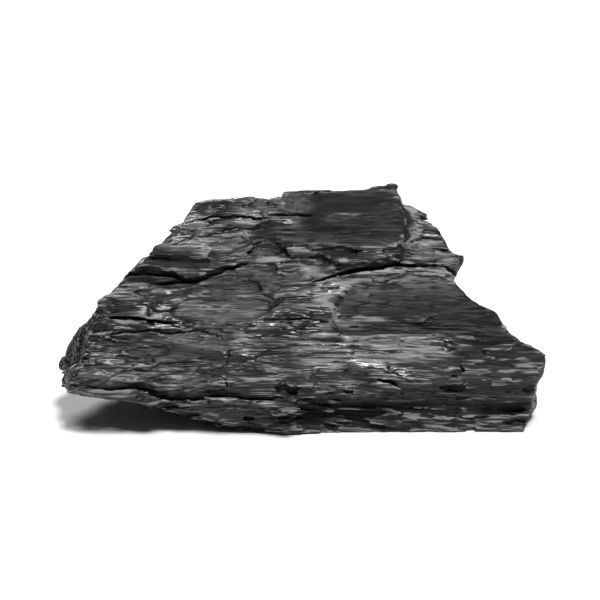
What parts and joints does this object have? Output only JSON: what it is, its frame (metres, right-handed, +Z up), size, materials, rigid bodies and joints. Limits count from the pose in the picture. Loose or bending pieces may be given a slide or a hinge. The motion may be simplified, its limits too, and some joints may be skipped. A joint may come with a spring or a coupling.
{
  "type": "charcoal lump",
  "caption": "Irregular lump of split charred wood with one pointed end, layered grain faces and cracks, lying on a flat foot; solid fuel for a grill or fire.",
  "frame": {"origin": "middle of the lump's footprint box, on the surface that it lies on", "axes": "+X along the wood grain from the pointed end to the blunt end, +Y from the front edge to the back, +Z up"},
  "size_m": [0.0654, 0.0314, 0.0291],
  "materials": {
    "charcoal": "black carbonised wood, satin with glossy patches along the grain"
  },
  "bodies": {
    "root": {"charcoal_lump": "charcoal"}
  },
  "joints": []
}
